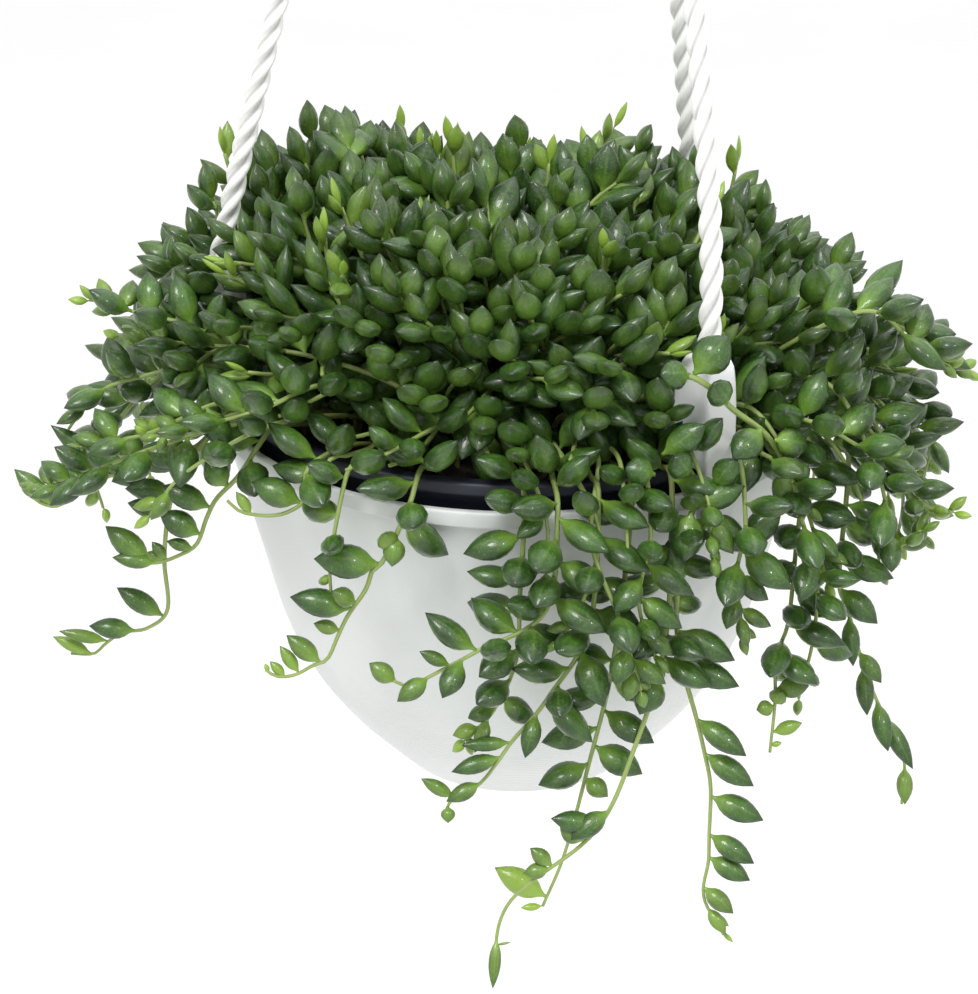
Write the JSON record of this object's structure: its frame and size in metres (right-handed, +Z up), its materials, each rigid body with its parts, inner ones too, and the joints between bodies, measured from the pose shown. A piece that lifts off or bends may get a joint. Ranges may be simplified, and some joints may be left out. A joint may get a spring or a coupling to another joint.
{
  "type": "hanging pot of trailing teardrop-leaved succulent",
  "caption": "Bowl-shaped hanging pot on ropes, with a nursery pot of trailing string-of-pearls type succulent spilling over its rim.",
  "frame": {"origin": "the point of the hanger ring's inner top that a ceiling hook bears on", "axes": "+Z up, -Y towards the side that is seen from the front, +X to its right"},
  "size_m": [0.2782, 0.2477, 0.606],
  "materials": {
    "pot": "white moulded plastic, soft sheen, faint turning rings low on the bowl",
    "nursery_pot": "blue-black thin plastic with a rolled rim",
    "soil": "dark crumbly potting soil",
    "hanger": "white moulded plastic clips and cap",
    "rope": "white three-strand twisted cord",
    "plant": "glossy green fleshy leaves on pale green stems"
  },
  "bodies": {
    "root": {"pot": "pot", "nursery_pot": "nursery_pot", "soil": "soil", "hanger": "hanger", "clip_front": "hanger", "clip_rear": "hanger", "clip_left": "hanger", "rope_front": "rope", "rope_rear": "rope", "rope_left": "rope", "mound": "plant", "stem_left_1": "plant", "stem_left_2": "plant", "stem_left_3": "plant", "stem_left_4": "plant", "stem_front_1": "plant", "stem_front_2": "plant", "stem_front_3": "plant", "stem_front_4": "plant", "stem_front_5": "plant", "stem_front_6": "plant", "stem_front_7": "plant", "stem_front_8": "plant", "stem_right_1": "plant", "stem_right_2": "plant", "stem_right_3": "plant", "stem_right_4": "plant", "stem_side_01": "plant", "stem_side_02": "plant", "stem_side_03": "plant", "stem_side_04": "plant", "stem_side_05": "plant", "stem_side_06": "plant", "stem_side_07": "plant", "stem_side_08": "plant", "stem_side_09": "plant", "stem_side_10": "plant", "stem_side_11": "plant", "stem_side_12": "plant", "stem_side_13": "plant", "stem_side_14": "plant", "stem_side_15": "plant"}
  },
  "joints": []
}
